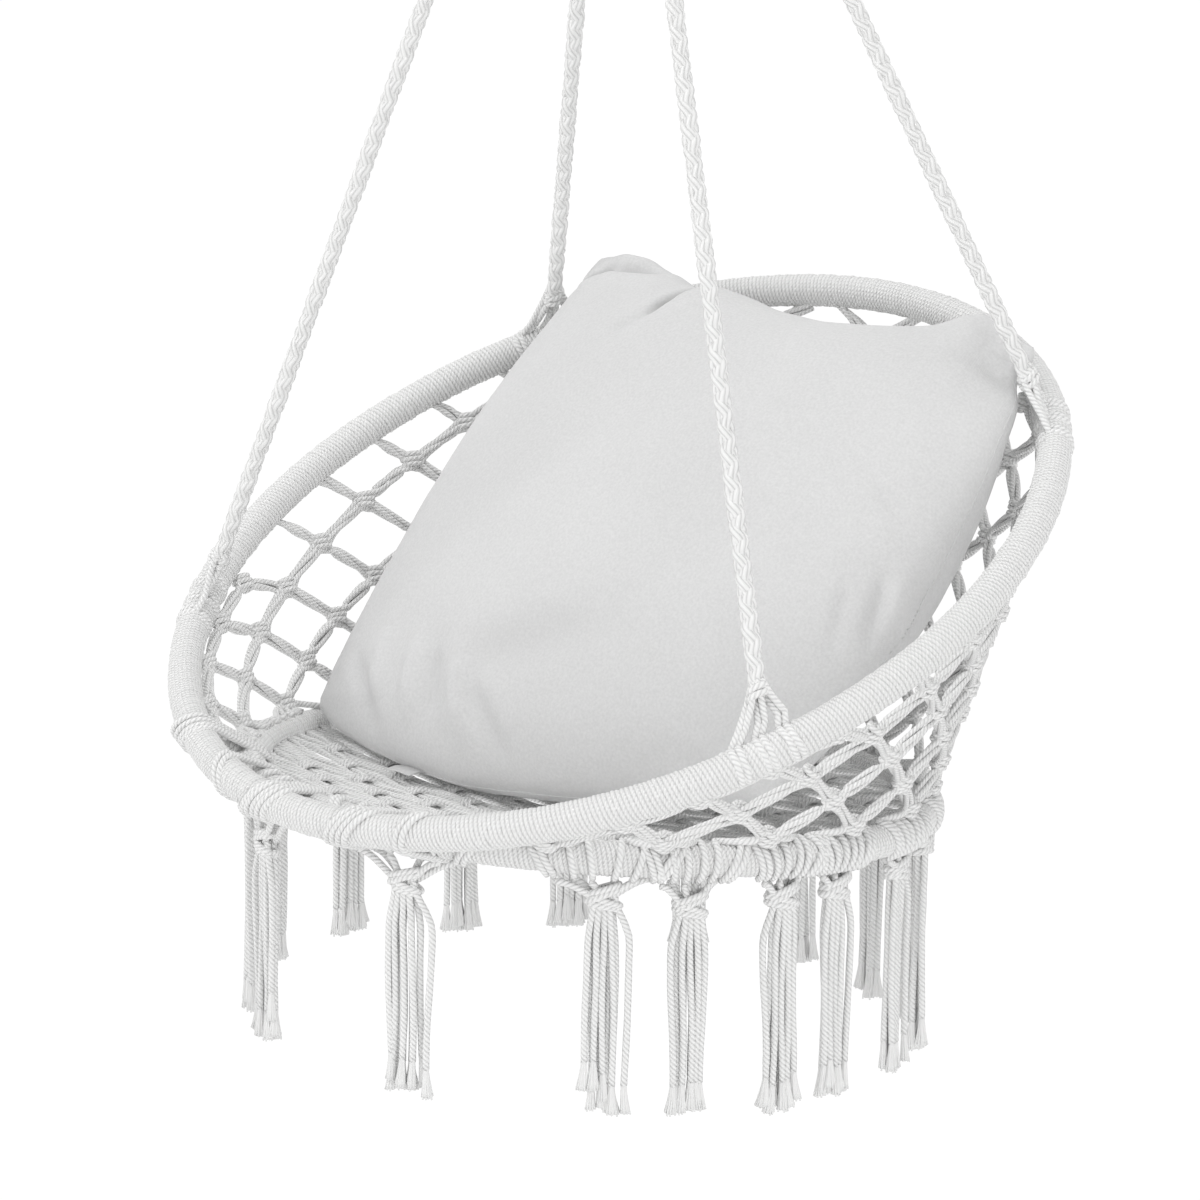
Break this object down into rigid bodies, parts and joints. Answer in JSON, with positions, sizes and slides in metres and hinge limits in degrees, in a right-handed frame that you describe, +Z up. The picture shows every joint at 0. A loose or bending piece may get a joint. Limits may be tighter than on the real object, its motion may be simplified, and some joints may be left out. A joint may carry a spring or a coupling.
{
  "type": "hammock chair",
  "caption": "Hanging hammock chair: two corded metal hoops with a knotted net between them, a netted seat, four ropes to a ring, a tasselled fringe and a loose square cushion.",
  "frame": {"origin": "where the hook bears in the top of the hanging ring", "axes": "+Z up, -Y to the front of the seat, +X to the right seen from the front"},
  "size_m": [0.7968, 0.7198, 1.4284],
  "materials": {
    "cotton_cord": "matt twisted cotton",
    "cotton_cloth": "plain fine weave",
    "fibre_fill": "loose fibre",
    "hoop_steel": "white powder coat",
    "ring_steel": "polished",
    "zip_plastic": "matt"
  },
  "bodies": {
    "ring": {"hanging_ring": "ring_steel"},
    "binding": {"ring_binding": "cotton_cord"},
    "eye": {"rope_eye": "cotton_cord"},
    "chair": {"rope_whipping": "cotton_cord", "rope_front_left": "cotton_cord", "rope_front_right": "cotton_cord", "rope_back_right": "cotton_cord", "rope_back_left": "cotton_cord", "lashing_front_left": "cotton_cord", "lashing_front_right": "cotton_cord", "lashing_back_right": "cotton_cord", "lashing_back_left": "cotton_cord", "back_hoop_tube": "hoop_steel", "back_hoop_spigot": "hoop_steel", "seat_hoop_tube": "hoop_steel", "seat_hoop_spigot": "hoop_steel", "back_wrap_front": "cotton_cord", "back_wrap_right": "cotton_cord", "back_wrap_rear": "cotton_cord", "back_wrap_left": "cotton_cord", "seat_hoop_wrap": "cotton_cord", "hoop_tie_left": "cotton_cord", "hoop_tie_right": "cotton_cord", "side_net": "cotton_cord", "seat_web": "cotton_cord"},
    "cushion": {"cushion_cover": "cotton_cloth", "cushion_filling": "fibre_fill", "cushion_zip": "zip_plastic", "care_label": "cotton_cloth"},
    "tassel_01_body": {"tassel_01": "cotton_cord"},
    "tassel_02_body": {"tassel_02": "cotton_cord"},
    "tassel_03_body": {"tassel_03": "cotton_cord"},
    "tassel_04_body": {"tassel_04": "cotton_cord"},
    "tassel_05_body": {"tassel_05": "cotton_cord"},
    "tassel_06_body": {"tassel_06": "cotton_cord"},
    "tassel_07_body": {"tassel_07": "cotton_cord"},
    "tassel_08_body": {"tassel_08": "cotton_cord"},
    "tassel_09_body": {"tassel_09": "cotton_cord"},
    "tassel_10_body": {"tassel_10": "cotton_cord"},
    "tassel_11_body": {"tassel_11": "cotton_cord"},
    "tassel_12_body": {"tassel_12": "cotton_cord"},
    "tassel_13_body": {"tassel_13": "cotton_cord"},
    "tassel_14_body": {"tassel_14": "cotton_cord"},
    "tassel_15_body": {"tassel_15": "cotton_cord"},
    "tassel_16_body": {"tassel_16": "cotton_cord"},
    "tassel_17_body": {"tassel_17": "cotton_cord"}
  },
  "joints": [
    {"name": "swing_sideways", "type": "hinge", "parent": "ring", "child": "binding", "pos_m": [0, 0, -0.025], "axis": [0, 1, 0], "range_deg": [-15, 15]},
    {"name": "swing_fore_aft", "type": "hinge", "parent": "binding", "child": "eye", "pos_m": [0, 0, -0.054], "axis": [1, 0, 0], "range_deg": [-20, 20]},
    {"name": "turn", "type": "hinge", "parent": "eye", "child": "chair", "pos_m": [0, 0, -0.121], "axis": [0, 0, 1], "range_deg": [-90, 90]},
    {"name": "cushion_lift", "type": "slide", "parent": "chair", "child": "cushion", "axis": [0, -0.7385, 0.6743], "range_m": [0, 0.1]},
    {"name": "tassel_01_swing", "type": "hinge", "parent": "chair", "child": "tassel_01_body", "pos_m": [0.27303, 0.0718, -1.20977], "axis": [0.309, -0.9511, 0], "range_deg": [-20, 20]},
    {"name": "tassel_02_swing", "type": "hinge", "parent": "chair", "child": "tassel_02_body", "pos_m": [0.21978, 0.16716, -1.21783], "axis": [0.6428, -0.766, 0], "range_deg": [-20, 20]},
    {"name": "tassel_03_swing", "type": "hinge", "parent": "chair", "child": "tassel_03_body", "pos_m": [0.16301, 0.21973, -1.22227], "axis": [0.8241, -0.5664, 0], "range_deg": [-20, 20]},
    {"name": "tassel_04_swing", "type": "hinge", "parent": "chair", "child": "tassel_04_body", "pos_m": [0.09107, 0.2546, -1.22522], "axis": [0.9483, -0.3173, 0], "range_deg": [-20, 20]},
    {"name": "tassel_05_swing", "type": "hinge", "parent": "chair", "child": "tassel_05_body", "pos_m": [-0.01002, 0.26929, -1.22646], "axis": [0.9994, 0.0349, 0], "range_deg": [-20, 20]},
    {"name": "tassel_06_swing", "type": "hinge", "parent": "chair", "child": "tassel_06_body", "pos_m": [-0.12171, 0.24349, -1.22428], "axis": [0.9063, 0.4226, 0], "range_deg": [-20, 20]},
    {"name": "tassel_07_swing", "type": "hinge", "parent": "chair", "child": "tassel_07_body", "pos_m": [-0.21012, 0.17864, -1.2188], "axis": [0.682, 0.7314, 0], "range_deg": [-20, 20]},
    {"name": "tassel_08_swing", "type": "hinge", "parent": "chair", "child": "tassel_08_body", "pos_m": [-0.26532, 0.09291, -1.21155], "axis": [0.3827, 0.9239, 0], "range_deg": [-20, 20]},
    {"name": "tassel_09_swing", "type": "hinge", "parent": "chair", "child": "tassel_09_body", "pos_m": [-0.2869, -0.02658, -1.20146], "axis": [-0.0349, 0.9994, 0], "range_deg": [-20, 20]},
    {"name": "tassel_10_swing", "type": "hinge", "parent": "chair", "child": "tassel_10_body", "pos_m": [-0.26102, -0.13788, -1.19205], "axis": [-0.4226, 0.9063, 0], "range_deg": [-20, 20]},
    {"name": "tassel_11_swing", "type": "hinge", "parent": "chair", "child": "tassel_11_body", "pos_m": [-0.19017, -0.23079, -1.1842], "axis": [-0.749, 0.6626, 0], "range_deg": [-20, 20]},
    {"name": "tassel_12_swing", "type": "hinge", "parent": "chair", "child": "tassel_12_body", "pos_m": [-0.11462, -0.27926, -1.1801], "axis": [-0.9171, 0.3987, 0], "range_deg": [-20, 20]},
    {"name": "tassel_13_swing", "type": "hinge", "parent": "chair", "child": "tassel_13_body", "pos_m": [0.06958, -0.29467, -1.1788], "axis": [-0.9703, -0.2419, 0], "range_deg": [-20, 20]},
    {"name": "tassel_14_swing", "type": "hinge", "parent": "chair", "child": "tassel_14_body", "pos_m": [0.21012, -0.21184, -1.1858], "axis": [-0.682, -0.7314, 0], "range_deg": [-20, 20]},
    {"name": "tassel_15_swing", "type": "hinge", "parent": "chair", "child": "tassel_15_body", "pos_m": [0.25097, -0.15522, -1.19059], "axis": [-0.4848, -0.8746, 0], "range_deg": [-20, 20]},
    {"name": "tassel_16_swing", "type": "hinge", "parent": "chair", "child": "tassel_16_body", "pos_m": [0.28037, -0.07854, -1.19707], "axis": [-0.2164, -0.9763, 0], "range_deg": [-20, 20]},
    {"name": "tassel_17_swing", "type": "hinge", "parent": "chair", "child": "tassel_17_body", "pos_m": [0.2869, -0.02159, -1.20188], "axis": [-0.0175, -0.9998, 0], "range_deg": [-20, 20]}
  ],
  "couplings": [
    {"joint": "tassel_02_swing", "follows": "tassel_01_swing", "ratio": 1},
    {"joint": "tassel_03_swing", "follows": "tassel_01_swing", "ratio": 1},
    {"joint": "tassel_04_swing", "follows": "tassel_01_swing", "ratio": 1},
    {"joint": "tassel_05_swing", "follows": "tassel_01_swing", "ratio": 1},
    {"joint": "tassel_06_swing", "follows": "tassel_01_swing", "ratio": 1},
    {"joint": "tassel_07_swing", "follows": "tassel_01_swing", "ratio": 1},
    {"joint": "tassel_08_swing", "follows": "tassel_01_swing", "ratio": 1},
    {"joint": "tassel_09_swing", "follows": "tassel_01_swing", "ratio": 1},
    {"joint": "tassel_10_swing", "follows": "tassel_01_swing", "ratio": 1},
    {"joint": "tassel_11_swing", "follows": "tassel_01_swing", "ratio": 1},
    {"joint": "tassel_12_swing", "follows": "tassel_01_swing", "ratio": 1},
    {"joint": "tassel_13_swing", "follows": "tassel_01_swing", "ratio": 1},
    {"joint": "tassel_14_swing", "follows": "tassel_01_swing", "ratio": 1},
    {"joint": "tassel_15_swing", "follows": "tassel_01_swing", "ratio": 1},
    {"joint": "tassel_16_swing", "follows": "tassel_01_swing", "ratio": 1},
    {"joint": "tassel_17_swing", "follows": "tassel_01_swing", "ratio": 1}
  ]
}
